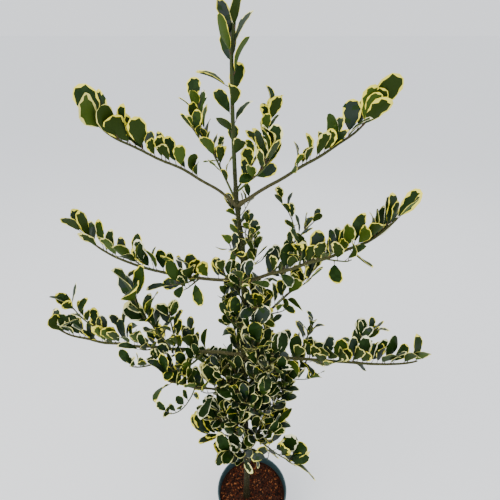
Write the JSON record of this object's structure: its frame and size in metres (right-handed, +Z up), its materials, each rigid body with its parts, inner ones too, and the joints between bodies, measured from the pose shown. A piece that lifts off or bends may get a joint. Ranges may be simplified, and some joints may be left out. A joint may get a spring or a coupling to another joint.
{
  "type": "young variegated holly tree in a pot",
  "caption": "Young variegated holly with long level boughs and cream-edged leaves, in a round dark green nursery pot.",
  "frame": {"origin": "middle of the pot's flat underside", "axes": "+Z up along the trunk, +X along the boughs to the right, +Y to the back"},
  "size_m": [1.0112, 0.3359, 1.7348],
  "materials": {
    "pot": "moulded dark teal polypropylene, slightly dusty",
    "compost": "loose red-brown bark mulch",
    "bark": "smooth olive brown young bark",
    "foliage": "glossy dark green leaves with cream yellow margins"
  },
  "bodies": {
    "root": {"pot": "pot", "compost": "compost", "trunk": "bark", "bough_upper_left": "bark", "bough_upper_right": "bark", "bough_middle_left": "bark", "bough_middle_right": "bark", "bough_inner_right": "bark", "bough_lower_left": "bark", "bough_under_left": "bark", "bough_lower_right": "bark", "bough_under_right": "bark", "foliage_upper_left": "foliage", "foliage_upper_right": "foliage", "foliage_middle_left": "foliage", "foliage_middle_right": "foliage", "foliage_inner_right": "foliage", "foliage_lower_left": "foliage", "foliage_under_left": "foliage", "foliage_lower_right": "foliage", "foliage_under_right": "foliage", "foliage_upper_back": "foliage", "foliage_upper_front": "foliage", "foliage_upper_side": "foliage", "foliage_low_left": "foliage", "foliage_low_right": "foliage", "foliage_column_1": "foliage", "foliage_column_2": "foliage", "foliage_column_3": "foliage", "foliage_column_4": "foliage", "foliage_column_5": "foliage", "foliage_column_6": "foliage", "foliage_column_7": "foliage", "foliage_column_8": "foliage", "foliage_column_9": "foliage", "foliage_column_10": "foliage", "foliage_column_11": "foliage", "foliage_column_12": "foliage", "foliage_column_13": "foliage", "foliage_column_14": "foliage", "foliage_spray_1": "foliage", "foliage_spray_2": "foliage", "foliage_spray_3": "foliage", "foliage_spray_4": "foliage", "foliage_spray_5": "foliage", "foliage_spray_6": "foliage", "foliage_spray_7": "foliage", "foliage_spray_8": "foliage", "foliage_spray_9": "foliage", "foliage_spray_10": "foliage", "foliage_leader": "foliage"}
  },
  "joints": []
}
